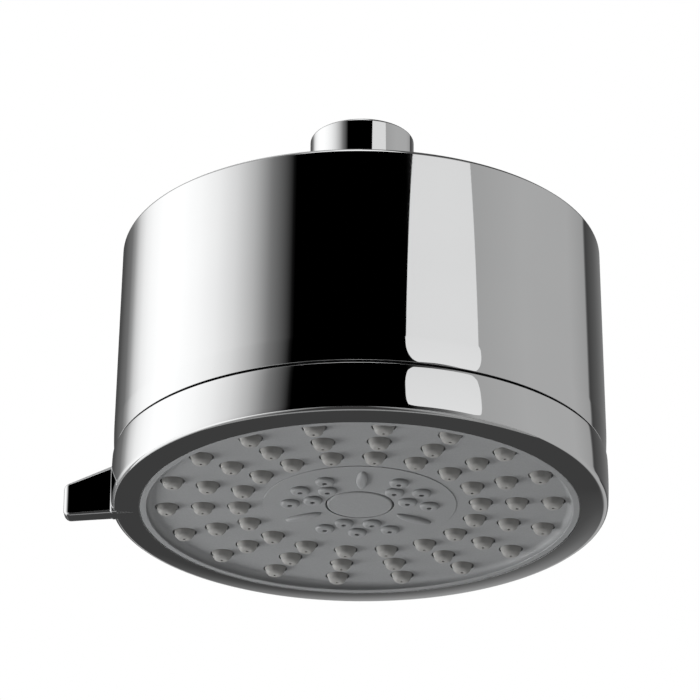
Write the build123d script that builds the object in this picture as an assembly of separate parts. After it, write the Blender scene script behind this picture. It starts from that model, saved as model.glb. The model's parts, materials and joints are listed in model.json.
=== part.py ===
from build123d import *
from math import asin, cos, degrees, radians, sin, sqrt
import os

os.makedirs("parts", exist_ok=True)

# All sizes are millimetres. Heights count up from the underside of the selector ring, and the
# finished pieces are moved so that the middle of the inlet mouth is the origin.

# Fits between pieces
gap = 0.3               # free gap between pieces that must not touch
fit = 0.05              # radial clearance of a close or running fit
overlap = 1.0           # how far a joined feature or a cut runs into its neighbour

# Selector ring and lever
ring_radius = 55.0      # widest point of the plated ring
ring_height = 11.6
ring_lip = 6.3          # width of the ring's flat underside
ring_lip_height = 3.0
ring_wall = 2.7
ring_crown = 0.15       # how far the outer wall bulges
ring_round = 0.6        # round at the lower outer edge
edge_round = 0.4        # round at the edges beside the parting line
ring_step = 0.5         # how far the ring stands out beyond the shell's foot
bead_depth = 0.4        # snap bead that holds the carrier in the ring
bead_height = 0.8
key_count = 4
key_width = 3.8
key_depth = 0.9
lever_reach = 10.7      # how far the lever stands out from the ring
lever_thickness = 4.3
lever_drop = 0.7        # how far the lever's tip stands below the ring
foot_drop = 0.2         # how far the lever's foot stands below the ring
lever_slope = 4.7       # how much lower the tip is than the root
lever_round = 0.6
toe_round = 1.2         # round at the lower corner of the lever's tip
brow_round = 0.8        # round at the upper corner of the lever's tip

# Body shell
drum_height = 62.5
drum_draft = 0.8        # radius lost from the parting line to the top
foot_roll = 6.0         # height over which the wall rolls in above the parting line
foot_inset = 0.2        # how far it rolls in there
shell_wall = 2.4
shell_top_wall = 2.6
shell_round = 1.0
shell_ribs = 6
rib_thickness = 1.6

# Ball joint and inlet
collar_radius = 11.85
thread_radius = 20.955 / 2   # major radius of a half-inch pipe thread
thread_length = 11.5
relief_height = 3.0     # space for the washer and filter below the thread
relief_depth = 0.4
collar_floor = 2.8
collar_round = 0.6
collar_clearance = 0.8  # between the collar and the fully tilted nut
washer_height = 2.0
screen_sheet = 0.5      # sheet of the filter screen
mesh_radius = 0.55
restrictor_height = 2.0
restrictor_inset = 0.5  # wall between the restrictor and the neck's outside
ball_radius = 10.0
neck_radius = 5.5
water_radius = 3.9      # water way through neck and ball
tilt_limit = 15.0       # degrees
seat_thickness = 1.95   # friction ring
seat_top = 6.0          # top of the friction ring above the ball's centre
socket_wall = 2.9
nut_wall = 2.95
nut_rise = 8.0          # top of the nut above the ball's centre
nut_flutes = 12
flute_radius = 1.5
mouth_flare = 0.7       # how much the nut's mouth opens towards the top

# Spray face
face_recess = 1.8       # depth of the flat face inside the rim
face_thickness = 2.0
rim_width = 1.55
rim_set_in = 0.1
mat_thickness = 1.5
mat_edge = 0.5          # how far the mat's pocket reaches past the rim
nozzle_spokes = 18
nozzle_circles = 3
nozzle_pitch = 8.0      # between circles
nozzle_edge = 4.3       # from the outer circle to the inside of the rim
nozzle_base_radius = 2.6
nozzle_tip_radius = 1.7
nozzle_tip_round = 0.7
nozzle_jet_radius = 0.4
disc_margin = 5.35      # from the inner nozzle circle to the edge of the centre disc
disc_proud = 0.15
disc_turn = 5.2         # degrees between the lever and the pattern of the centre disc
disc_flange_width = 1.8
cap_radius = 7.25
cap_gap = 0.25
cap_lip = 0.95          # how far the cap stands out beyond its skirt
cap_wall = 0.8
jet_boss_radius = 2.15
jet_boss_height = 0.8
jet_boss_taper = 0.3
jet_radius = 0.6
cluster_count = 3
cluster_inner = 10.75   # radius of the inner arc of a cluster
cluster_step = 4.65     # from the inner to the outer arc of a cluster
inner_spread = 17.0     # degrees of the inner jets from the middle of the cluster
outer_spread = 28.3     # degrees of the outer jets
pad_length = 8.7
pad_width = 2.6
pad_height = 0.45

# Selector mechanism
selector_limit = 45.0   # degrees each way from the middle setting
port_radius = 3.0
port_margin = 1.0       # wall kept beside a port
plate_wall = 2.4        # distributor plate
port_plate_wall = 3.5
spindle_radius = 5.0
spindle_length = 6.2    # below the top of the distributor plate
hub_wall = 3.95
hub_floor = 1.6
screw_radius = 1.5
screw_washer_height = 0.8
plate_screw_radius = 1.2
head_radius = 1.9
head_depth = 2.0
flange_width = 5.0
chamber_height = 5.0
chamber_wall = 1.8      # wall between the two spray chambers
skirt_wall = 2.6        # round walls of the water chamber and the carrier
mould_wall = 3.0        # flat walls of the manifold
shoulder_width = 5.0
tube_wall = 3.0
seal_margin = 2.2       # width of the port seal
seal_depth = 1.8
ring_seal_section = 0.7
lug_width = 8.0
post_width = 5.0
stop_height = 3.3
stop_length = 3.5
leaf_thickness = 0.4
leaf_width = 5.0
leaf_reach = 15.0       # from the screw of the detent spring to its nose
notch_radius = 1.6
turbine_blades = 10
turbine_wall = 2.0
blade_thickness = 0.9
jet_plate_height = 3.0
jet_plate_wall = 1.3
jet_slots = 6
jet_slant = 40.0        # degrees

# Heights that follow from the sizes above
shell_bottom = ring_height + gap
face_top = face_recess + face_thickness
mat_top = face_top + mat_thickness
plate_top = ring_height + ring_lip_height
plate_bottom = plate_top - plate_wall
port_plate_bottom = plate_top + gap
port_plate_top = port_plate_bottom + port_plate_wall
chamber_top = port_plate_top + chamber_height
ball_centre = drum_height
nut_top = ball_centre + nut_rise
tilt = radians(tilt_limit)
nut_swing = nut_rise * cos(tilt) + (collar_radius + nut_rise * sin(tilt)) / cos(tilt) * sin(tilt)
collar_bottom = ball_centre + nut_swing + collar_clearance
washer_seat = collar_bottom + collar_floor
thread_bottom = washer_seat + relief_height
overall_height = thread_bottom + thread_length

# Radii that follow from the sizes above
ring_inside = ring_radius - ring_wall
lip_radius = ring_radius - ring_lip
carrier_radius = ring_inside - gap
shell_foot_radius = ring_radius - ring_step
shell_inside = shell_foot_radius - shell_wall
shell_top_radius = shell_foot_radius + foot_inset - drum_draft
skirt_radius = shell_inside - 3 * gap
rim_radius = lip_radius - 2 * fit
rim_inside = rim_radius - rim_width
outer_circle = rim_inside - nozzle_edge
inner_circle = outer_circle - (nozzle_circles - 1) * nozzle_pitch
disc_radius = inner_circle - disc_margin
disc_flange = disc_radius + disc_flange_width
chamber_wall_inside = disc_radius + disc_flange_width - 2 * gap
chamber_wall_outside = chamber_wall_inside + chamber_wall
hub_bore = spindle_radius + fit
hub_radius = hub_bore + hub_wall
inner_port = (hub_radius + chamber_wall_inside) / 2
outer_port = chamber_wall_outside + port_radius + port_margin
chamber_radius = outer_port + port_radius + 3 * port_margin
chamber_skirt = chamber_radius + skirt_wall
flange_radius = chamber_skirt + flange_width
socket_radius = ball_radius + fit + seat_thickness + 2 * fit
boss_radius = socket_radius + socket_wall
nut_radius = boss_radius + fit + nut_wall


def point(radius, height):
    """Point of a turning outline."""
    return (radius, 0, height)


def turned(*corners):
    """Solid turned about the Z axis, with straight sides between (radius, height) corners."""
    outline = Polyline(*[point(r, h) for r, h in corners], close=True)
    return revolve(make_face(outline), Axis.Z)


def spun(*edges):
    """Solid turned about the Z axis from a closed chain of edges."""
    return revolve(make_face(list(edges)), Axis.Z)


def quarter_round(start, end, corner):
    """Quarter circle that rounds off a square corner of an outline."""
    middle = [a + b - c + (2 * c - a - b) * sin(radians(45)) for a, b, c in zip(start, end, corner)]
    return ThreePointArc(start, tuple(middle), end)


def on_sphere(radius, rise):
    """Outline point on a sphere round the ball's centre, at a rise above that centre."""
    return point(sqrt(radius**2 - rise**2), ball_centre + rise)


def sphere_arc(radius, low, high):
    """Outline arc on a sphere round the ball's centre."""
    return ThreePointArc(
        on_sphere(radius, low), on_sphere(radius, (low + high) / 2), on_sphere(radius, high)
    )


def block(x_low, x_high, width, low, high):
    """Block along X, centred on the XZ plane."""
    body = Box(x_high - x_low, width, high - low)
    return Pos((x_low + x_high) / 2, 0, (low + high) / 2) * body


def rod(radius, low, high):
    """Upright round bar on the Z axis."""
    return Pos(0, 0, (low + high) / 2) * Cylinder(radius, high - low)


def frustum(low_radius, high_radius, low, high):
    """Upright cone on the Z axis, cut off at both ends."""
    return Pos(0, 0, (low + high) / 2) * Cone(low_radius, high_radius, high - low)


def round_about(solid, count, start=0.0):
    """Copies of a solid, evenly turned about the Z axis."""
    return [Rot(0, 0, start + 360 * k / count) * solid for k in range(count)]


def ring_seal(inside, outside, height):
    """Round-section seal that fills the space between two radii."""
    section = (outside - inside) / 2
    return Pos(0, 0, height) * Torus(inside + section, section)


# Body shell: plated drum, open below, with a hole for the ball socket
shell_low = point(shell_foot_radius, shell_bottom + edge_round)
shell_wide = point(shell_foot_radius + foot_inset, shell_bottom + foot_roll)
shell_high = point(shell_top_radius, drum_height - shell_round)
shell_slope = (shell_wide[0] - shell_high[0]) / (shell_high[2] - shell_wide[2])
shell_ceiling = drum_height - shell_top_wall
shell_hole = boss_radius + gap
shell_inside_top = shell_top_radius - shell_wall
body_shell = spun(
    Line(shell_high, shell_wide),
    TangentArc(shell_wide, shell_low, tangent=(shell_slope, 0, -1)),
    quarter_round(
        shell_low, point(shell_foot_radius - edge_round, shell_bottom), point(shell_foot_radius, shell_bottom)
    ),
    Line(point(shell_foot_radius - edge_round, shell_bottom), point(shell_inside, shell_bottom)),
    Line(point(shell_inside, shell_bottom), point(shell_inside_top, shell_ceiling)),
    Line(point(shell_inside_top, shell_ceiling), point(shell_hole, shell_ceiling)),
    Line(point(shell_hole, shell_ceiling), point(shell_hole, drum_height)),
    Line(point(shell_hole, drum_height), point(shell_top_radius - shell_round, drum_height)),
    quarter_round(
        point(shell_top_radius - shell_round, drum_height), shell_high, point(shell_top_radius, drum_height)
    ),
)
rib_bottom = port_plate_top + gap
rib_outside = shell_inside_top + overlap
shell_rib = block(flange_radius + fit, rib_outside, rib_thickness, rib_bottom, shell_ceiling + overlap)
body_shell += round_about(shell_rib, shell_ribs, 180 / shell_ribs)

# Water manifold: ball socket, tube and water chamber in one moulding
seal_seat = -0.76 * ball_radius
tube_bore = 0.75 * ball_radius
tube_radius = tube_bore + tube_wall
boss_top = ball_centre + 0.49 * ball_radius
shoulder_radius = boss_radius + shoulder_width
shoulder_bottom = shell_ceiling - mould_wall
socket_floor = ball_centre + seal_seat
socket_base = socket_floor - 0.6 * mould_wall
chamber_roof = chamber_top + mould_wall
flange_top = port_plate_top + mould_wall
water_manifold = turned(
    (socket_radius, boss_top),
    (boss_radius, boss_top),
    (boss_radius, shell_ceiling),
    (shoulder_radius, shell_ceiling),
    (shoulder_radius, shoulder_bottom),
    (boss_radius, shoulder_bottom),
    (boss_radius, socket_base),
    (tube_radius, socket_base - (boss_radius - tube_radius)),
    (tube_radius, chamber_roof),
    (chamber_skirt, chamber_roof),
    (chamber_skirt, flange_top),
    (flange_radius, flange_top),
    (flange_radius, port_plate_top),
    (chamber_radius, port_plate_top),
    (chamber_radius, chamber_top),
    (tube_bore, chamber_top),
    (tube_bore, socket_floor),
    (socket_radius, socket_floor),
)
gusset_rise = 0.6 * (shoulder_bottom - chamber_roof)
gusset_outline = Polyline(
    point(tube_bore + overlap, chamber_roof - overlap),
    point(chamber_skirt - overlap, chamber_roof - overlap),
    point(chamber_skirt - overlap, chamber_roof + overlap),
    point(tube_bore + overlap, chamber_roof + gusset_rise),
    close=True,
)
gusset = extrude(make_face(gusset_outline), rib_thickness / 2, both=True)
plate_screw_circle = chamber_skirt + 0.44 * flange_width
screw_boss = Pos(plate_screw_circle, 0, 0) * rod(0.48 * flange_width, port_plate_top, chamber_roof)
screw_pilot = Pos(plate_screw_circle, 0, 0) * rod(plate_screw_radius + fit, port_plate_top, chamber_top)
water_manifold += round_about(gusset, shell_ribs)
water_manifold += round_about(screw_boss, shell_ribs)
water_manifold -= round_about(screw_pilot, shell_ribs)

# Inlet connector: threaded collar, neck and ball in one turned piece
restrictor_radius = neck_radius - restrictor_inset
restrictor_seat = washer_seat - restrictor_height
neck_rise = sqrt(ball_radius**2 - neck_radius**2)
outlet_drop = sqrt(ball_radius**2 - water_radius**2)
relief_radius = thread_radius + relief_depth
inlet_connector = spun(
    Line(point(water_radius, ball_centre - outlet_drop), point(water_radius, restrictor_seat)),
    Line(point(water_radius, restrictor_seat), point(restrictor_radius + fit, restrictor_seat)),
    Line(point(restrictor_radius + fit, restrictor_seat), point(restrictor_radius + fit, washer_seat)),
    Line(point(restrictor_radius + fit, washer_seat), point(relief_radius, washer_seat)),
    Line(point(relief_radius, washer_seat), point(relief_radius, thread_bottom)),
    Line(point(relief_radius, thread_bottom), point(thread_radius, thread_bottom)),
    Line(point(thread_radius, thread_bottom), point(thread_radius, overall_height)),
    Line(point(thread_radius, overall_height), point(collar_radius - collar_round, overall_height)),
    quarter_round(
        point(collar_radius - collar_round, overall_height),
        point(collar_radius, overall_height - collar_round),
        point(collar_radius, overall_height),
    ),
    Line(
        point(collar_radius, overall_height - collar_round),
        point(collar_radius, collar_bottom + collar_round),
    ),
    quarter_round(
        point(collar_radius, collar_bottom + collar_round),
        point(collar_radius - collar_round, collar_bottom),
        point(collar_radius, collar_bottom),
    ),
    Line(point(collar_radius - collar_round, collar_bottom), point(neck_radius, collar_bottom)),
    Line(point(neck_radius, collar_bottom), point(neck_radius, ball_centre + neck_rise)),
    ThreePointArc(
        point(neck_radius, ball_centre + neck_rise),
        point(ball_radius, ball_centre),
        point(water_radius, ball_centre - outlet_drop),
    ),
)

# Inlet washer, filter and flow restrictor, stacked on the floor of the collar
washer_radius = thread_radius - 3 * gap
washer_bore = restrictor_radius + 2 * gap
washer_top = washer_seat + washer_height
inlet_washer = turned(
    (washer_bore, washer_seat),
    (washer_radius, washer_seat),
    (washer_radius, washer_top),
    (washer_bore, washer_top),
)
sheet_top = washer_top + screen_sheet
cup_radius = washer_bore - gap
cup_floor = washer_seat + gap
filter_screen = turned(
    (0, cup_floor),
    (cup_radius, cup_floor),
    (cup_radius, washer_top),
    (washer_radius - 2 * gap, washer_top),
    (washer_radius - 2 * gap, sheet_top),
    (cup_radius - screen_sheet, sheet_top),
    (cup_radius - screen_sheet, cup_floor + screen_sheet),
    (0, cup_floor + screen_sheet),
)
mesh_hole = rod(mesh_radius, cup_floor - overlap, cup_floor + overlap)
mesh_pitch = cup_radius / 3
filter_screen -= mesh_hole
filter_screen -= round_about(Pos(mesh_pitch, 0, 0) * mesh_hole, 6)
filter_screen -= round_about(Pos(2 * mesh_pitch, 0, 0) * mesh_hole, 12)
groove_inside = 0.42 * restrictor_radius
groove_outside = 0.8 * restrictor_radius
groove_floor = restrictor_seat + 0.4 * restrictor_height
flow_restrictor = turned(
    (0, restrictor_seat),
    (restrictor_radius, restrictor_seat),
    (restrictor_radius, washer_seat),
    (groove_outside, washer_seat),
    (groove_outside, groove_floor),
    (groove_inside, groove_floor),
    (groove_inside, washer_seat),
    (0, washer_seat),
)
restrictor_middle = (groove_inside + groove_outside) / 2
restrictor_hole = rod(0.08 * restrictor_radius, restrictor_seat - overlap, groove_floor + overlap)
flow_restrictor -= round_about(Pos(restrictor_middle, 0, 0) * restrictor_hole, 6)
restrictor_section = 0.11 * restrictor_radius
restrictor_ring_seal = ring_seal(
    restrictor_middle - restrictor_section,
    restrictor_middle + restrictor_section,
    groove_floor + restrictor_section,
)

# Ball friction ring: held by the nut, it grips the upper half of the ball
seat_inside = ball_radius + fit
seat_outside = seat_inside + seat_thickness
seat_low = 0.1 * ball_radius
ball_friction_ring = spun(
    sphere_arc(seat_inside, seat_low, seat_top),
    Line(on_sphere(seat_inside, seat_top), on_sphere(seat_outside, seat_top)),
    sphere_arc(seat_outside, seat_low, seat_top),
    Line(on_sphere(seat_outside, seat_low), on_sphere(seat_inside, seat_low)),
)

# Ball seal: rubber cup under the ball, lying on the socket floor
seal_top = -0.33 * ball_radius
ball_seal = spun(
    sphere_arc(seat_inside, seal_seat, seal_top),
    Line(on_sphere(seat_inside, seal_top), point(socket_radius - fit, ball_centre + seal_top)),
    Line(point(socket_radius - fit, ball_centre + seal_top), point(socket_radius - fit, socket_floor)),
    Line(point(socket_radius - fit, socket_floor), on_sphere(seat_inside, seal_seat)),
)

# Ball nut: screwed on the socket, it clamps the shell and holds the friction ring
nut_seat = seat_outside + fit
nut_ceiling = 0.5 * ball_radius
mouth_low = seat_top + gap
mouth_radius = sqrt(nut_seat**2 - mouth_low**2)
ball_nut = spun(
    sphere_arc(nut_seat, nut_ceiling, mouth_low),
    Line(on_sphere(nut_seat, mouth_low), point(mouth_radius + mouth_flare, nut_top)),
    Line(point(mouth_radius + mouth_flare, nut_top), point(nut_radius - shell_round, nut_top)),
    quarter_round(
        point(nut_radius - shell_round, nut_top),
        point(nut_radius, nut_top - shell_round),
        point(nut_radius, nut_top),
    ),
    Line(point(nut_radius, nut_top - shell_round), point(nut_radius, drum_height)),
    Line(point(nut_radius, drum_height), point(boss_radius + fit, drum_height)),
    Line(point(boss_radius + fit, drum_height), point(boss_radius + fit, ball_centre + nut_ceiling)),
    Line(point(boss_radius + fit, ball_centre + nut_ceiling), on_sphere(nut_seat, nut_ceiling)),
)
flute = rod(flute_radius, drum_height - overlap, nut_top + overlap)
ball_nut -= round_about(Pos(nut_radius + 0.6 * flute_radius, 0, 0) * flute, nut_flutes)

# Port plate: lid of the chamber, with the spindle, the water port, the stop lug and the detent ear
spigot_radius = chamber_radius - gap
spigot_top = port_plate_top + 0.7 * chamber_height
groove_depth = 2 * ring_seal_section
groove_half = ring_seal_section + gap
plate_seal_height = (port_plate_top + spigot_top) / 2
spindle_bottom = plate_top - spindle_length
spindle_seal_height = (plate_top + spindle_bottom) / 2 + 2 * gap
spindle_groove = spindle_radius - groove_depth
screw_top = port_plate_top - screw_radius
port_plate = turned(
    (0, spindle_bottom),
    (spindle_radius, spindle_bottom),
    (spindle_radius, spindle_seal_height - groove_half),
    (spindle_groove, spindle_seal_height - groove_half),
    (spindle_groove, spindle_seal_height + groove_half),
    (spindle_radius, spindle_seal_height + groove_half),
    (spindle_radius, port_plate_bottom),
    (flange_radius, port_plate_bottom),
    (flange_radius, port_plate_top),
    (spigot_radius, port_plate_top),
    (spigot_radius, plate_seal_height - groove_half),
    (chamber_radius - groove_depth, plate_seal_height - groove_half),
    (chamber_radius - groove_depth, plate_seal_height + groove_half),
    (spigot_radius, plate_seal_height + groove_half),
    (spigot_radius, spigot_top),
    (spigot_radius - skirt_wall, spigot_top),
    (spigot_radius - skirt_wall, port_plate_top),
    (0, port_plate_top),
)
lug_inside = flange_radius + 3 * gap
lug_outside = lug_inside + stop_length
stop_lug = block(-lug_outside, -chamber_skirt, lug_width, port_plate_bottom, port_plate_top)
leaf_radius = flange_radius + leaf_width / 2 + 2 * gap
ear_top = port_plate_bottom + 0.8 * port_plate_wall
ear_middle = -leaf_reach
ear = Pos(0, ear_middle, 0) * block(
    chamber_skirt, leaf_radius + leaf_width / 2, lug_width, port_plate_bottom, ear_top
)
leaf_screw_pilot = Pos(leaf_radius, ear_middle, 0) * rod(
    plate_screw_radius + fit, port_plate_bottom - overlap, ear_top + overlap
)
port_length = outer_port - inner_port + 2 * port_radius
port_width = 2 * port_radius + port_margin
port_middle = (outer_port + inner_port) / 2
port_opening = SlotOverall(port_length, port_width)
pocket_opening = SlotOverall(port_length + 2 * seal_margin, port_width + 2 * seal_margin)
port_tool = extrude(port_opening, port_plate_wall + 2 * overlap)
port_cut = Pos(port_middle, 0, port_plate_bottom - overlap) * port_tool
pocket_cut = Pos(port_middle, 0, port_plate_bottom) * extrude(pocket_opening, seal_depth)
plate_screw_hole = rod(plate_screw_radius + fit, port_plate_bottom - overlap, port_plate_top + overlap) + rod(
    head_radius + gap, port_plate_bottom - overlap, port_plate_bottom + gap + head_depth
)
port_plate += [stop_lug, ear]
centre_pilot = rod(screw_radius + fit, spindle_bottom - overlap, screw_top + gap)
port_plate -= [port_cut, pocket_cut, leaf_screw_pilot, centre_pilot]
port_plate -= round_about(Pos(plate_screw_circle, 0, 0) * plate_screw_hole, shell_ribs)

# Seals and screws of the port plate
port_plate_ring_seal = ring_seal(chamber_radius - groove_depth + fit, chamber_radius - fit, plate_seal_height)
spindle_ring_seal = ring_seal(spindle_groove + fit, hub_bore - fit, spindle_seal_height)
plate_screw_head = port_plate_bottom + gap
plate_screw = rod(head_radius, plate_screw_head, plate_screw_head + head_depth) + rod(
    plate_screw_radius, plate_screw_head + head_depth, chamber_top - gap
)
plate_screw_set = round_about(Pos(plate_screw_circle, 0, 0) * plate_screw, shell_ribs)
port_plate_screws = Compound(children=plate_screw_set)
seal_outline = SlotOverall(
    port_length + 2 * seal_margin - 2 * fit, port_width + 2 * seal_margin - 2 * fit
)
port_seal_body = extrude(seal_outline - port_opening, seal_depth + gap - fit)
port_seal = Pos(port_middle, 0, plate_top + fit) * port_seal_body

# Detent spring: bent leaf screwed to the ear, its nose in a notch of the distributor plate
notch_centre = plate_top + 2 * gap
nose_side = notch_radius + gap
nose_bottom = notch_centre - notch_radius + fit
leaf_path = [
    (ear_middle - 0.7 * leaf_width, ear_top),
    (ear_middle + lug_width / 2 + gap, ear_top),
    (-nose_side, notch_centre),
    (0, nose_bottom),
    (nose_side, notch_centre),
]
leaf_over = [(y, h + leaf_thickness) for y, h in reversed(leaf_path)]
leaf_outline = Polyline(*[(leaf_radius, y, h) for y, h in leaf_path + leaf_over], close=True)
detent_spring = extrude(make_face(leaf_outline), leaf_width / 2, dir=(1, 0, 0), both=True)
leaf_hole = rod(plate_screw_radius + fit, ear_top - overlap, ear_top + overlap)
detent_spring -= Pos(leaf_radius, ear_middle, 0) * leaf_hole
leaf_screw_head = ear_top + leaf_thickness
detent_screw = Pos(leaf_radius, ear_middle, 0) * (
    rod(plate_screw_radius, port_plate_bottom, leaf_screw_head)
    + rod(head_radius, leaf_screw_head, leaf_screw_head + 0.7 * head_depth)
)

# Distributor plate: turns on the spindle and leads the water to the two spray chambers
hub_floor_top = spindle_bottom - 2 * fit
hub_floor_bottom = hub_floor_top - hub_floor
hub_recess = cap_radius - cap_lip
ledge = ring_height - bead_height
distributor_plate = turned(
    (screw_radius + gap, hub_floor_bottom),
    (hub_recess, hub_floor_bottom),
    (hub_recess, face_top),
    (hub_radius, face_top),
    (hub_radius, plate_bottom),
    (chamber_wall_inside, plate_bottom),
    (chamber_wall_inside, mat_top),
    (chamber_wall_outside, mat_top),
    (chamber_wall_outside, plate_bottom),
    (carrier_radius - skirt_wall, plate_bottom),
    (carrier_radius - skirt_wall, mat_top),
    (carrier_radius, mat_top),
    (carrier_radius, ledge),
    (skirt_radius, ledge),
    (skirt_radius, plate_top),
    (hub_bore, plate_top),
    (hub_bore, hub_floor_top),
    (screw_radius + gap, hub_floor_top),
)
feed = rod(port_radius, plate_bottom - overlap, plate_top + overlap)
outer_feed = Pos(outer_port, 0, 0) * feed
inner_feed = Pos(inner_port, 0, 0) * feed
notch = Pos(leaf_radius, 0, notch_centre) * Rot(0, 90, 0) * Cylinder(notch_radius, leaf_width + 2 * overlap)
distributor_plate -= [outer_feed, inner_feed]
distributor_plate -= Rot(0, 0, -selector_limit) * outer_feed
distributor_plate -= Rot(0, 0, selector_limit) * inner_feed
distributor_plate -= [Rot(0, 0, k * selector_limit) * notch for k in (-1, 0, 1)]
lug_middle = (lug_inside + lug_outside) / 2
stop_angle = selector_limit + degrees(asin((lug_width / 2 + post_width / 2 + gap) / lug_middle))
stop_post = block(-lug_outside, -lug_inside, post_width, plate_top - overlap, plate_top + stop_height)
distributor_plate += [Rot(0, 0, k * stop_angle) * stop_post for k in (-1, 1)]
key_low = mat_top + gap
key_high = ledge - overlap
slot_inside = carrier_radius - key_depth - gap
slot_outside = carrier_radius + overlap
key_slot = block(slot_inside, slot_outside, key_width + 2 * gap, mat_top - overlap, ledge + overlap)
distributor_plate -= round_about(key_slot, key_count, 45)

# Selector ring with its lever: one plated moulding that carries the face
ring_crest = (ring_round + ring_height - edge_round) / 2
wall_low = point(ring_radius - ring_crown, ring_round)
wall_high = point(ring_radius - ring_crown, ring_height - edge_round)
round_start = point(ring_radius - ring_crown - ring_round, 0)
top_start = point(ring_radius - ring_crown - edge_round, ring_height)
bead_radius = carrier_radius - bead_depth
bead_bottom = ledge + 4 * fit
selector_ring = spun(
    Line(point(lip_radius, 0), round_start),
    quarter_round(round_start, wall_low, point(wall_low[0], 0)),
    ThreePointArc(wall_low, point(ring_radius, ring_crest), wall_high),
    quarter_round(wall_high, top_start, point(wall_high[0], ring_height)),
    Line(top_start, point(bead_radius, ring_height)),
    Line(point(bead_radius, ring_height), point(bead_radius, bead_bottom)),
    Line(point(bead_radius, bead_bottom), point(ring_inside, bead_bottom)),
    Line(point(ring_inside, bead_bottom), point(ring_inside, ring_lip_height)),
    Line(point(ring_inside, ring_lip_height), point(lip_radius, ring_lip_height)),
    Line(point(lip_radius, ring_lip_height), point(lip_radius, 0)),
)
drive_key = block(carrier_radius - key_depth, ring_inside + gap, key_width, key_low, key_high)
selector_ring += round_about(drive_key, key_count, 45)
lever_root = ring_radius - ring_crown - overlap
lever_tip = ring_radius + lever_reach
lever_top = ring_height - edge_round / 2
lever_outline = Polygon(
    (-lever_root, -foot_drop),
    (-lever_tip, -lever_drop),
    (-lever_tip, lever_top - lever_slope),
    (-lever_root, lever_top),
    align=None,
)
lever_toe = lever_outline.vertices().group_by(Axis.X)[0].sort_by(Axis.Y)[0]
lever_outline = fillet(lever_toe, toe_round)
lever_brow = lever_outline.vertices().group_by(Axis.X)[0].sort_by(Axis.Y)[-1]
lever_outline = fillet(lever_brow, brow_round)
lever = extrude(Plane.XZ * lever_outline, lever_thickness / 2, both=True)
lever_rims = lever.faces().filter_by(Axis.Y).edges()
lever_rims = [e for e in lever_rims if abs(e.center().X + lever_root) > overlap / 2]
lever = fillet(lever_rims, lever_round)
foot_outline = Polyline(
    point(-ring_radius, -foot_drop),
    point(-ring_radius, ring_round),
    point(-lip_radius - edge_round, ring_round),
    point(-lip_radius - edge_round, -fit),
    close=True,
)
lever_foot = extrude(make_face(foot_outline), lever_thickness / 2 - edge_round, both=True)
selector_ring += [lever, lever_foot]

# Face plate: matt plate with a raised rim, held on the ring's lip
cove_radius = face_recess - rim_set_in
disc_hole = disc_radius + gap / 2
pocket_radius = rim_radius + mat_edge
face_plate = spun(
    Line(point(disc_hole, face_recess), point(rim_inside - cove_radius, face_recess)),
    quarter_round(
        point(rim_inside - cove_radius, face_recess),
        point(rim_inside, rim_set_in),
        point(rim_inside, face_recess),
    ),
    Line(point(rim_inside, rim_set_in), point(rim_radius - edge_round, rim_set_in)),
    quarter_round(
        point(rim_radius - edge_round, rim_set_in),
        point(rim_radius, rim_set_in + edge_round),
        point(rim_radius, rim_set_in),
    ),
    Line(point(rim_radius, rim_set_in + edge_round), point(rim_radius, ring_lip_height)),
    Line(point(rim_radius, ring_lip_height), point(carrier_radius, ring_lip_height)),
    Line(point(carrier_radius, ring_lip_height), point(carrier_radius, mat_top)),
    Line(point(carrier_radius, mat_top), point(pocket_radius, mat_top)),
    Line(point(pocket_radius, mat_top), point(pocket_radius, face_top)),
    Line(point(pocket_radius, face_top), point(disc_hole, face_top)),
    Line(point(disc_hole, face_top), point(disc_hole, face_recess)),
)
nozzle_places = [
    Rot(0, 0, 180 + 360 * k / nozzle_spokes) * Pos(outer_circle - j * nozzle_pitch, 0, 0)
    for j in range(nozzle_circles)
    for k in range(nozzle_spokes)
]
nozzle_hole = rod(nozzle_base_radius + 2 * fit, 0, face_top + overlap)
face_plate -= [place * nozzle_hole for place in nozzle_places]

# Nozzle mat: rubber sheet whose tapered nozzles stand through the face plate
nozzle_shoulder = face_recess + gap
nozzle_end = rim_set_in
tip_start = nozzle_end + nozzle_tip_round
tip_end_radius = nozzle_tip_radius - 0.8 * nozzle_tip_round
nozzle = turned(
    (0, nozzle_end),
    (tip_end_radius, nozzle_end),
    (nozzle_tip_radius, tip_start),
    (nozzle_base_radius, nozzle_shoulder),
    (nozzle_base_radius, face_top + mat_thickness / 2),
    (0, face_top + mat_thickness / 2),
)
nozzle_bore = rod(nozzle_jet_radius, -overlap, mat_top + overlap)
mat_inside = disc_flange + gap
mat_outside = pocket_radius - gap
nozzle_mat = turned(
    (mat_inside, face_top),
    (mat_outside, face_top),
    (mat_outside, mat_top),
    (mat_inside, mat_top),
)
nozzle_mat += [place * nozzle for place in nozzle_places]
nozzle_mat -= [place * nozzle_bore for place in nozzle_places]

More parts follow.
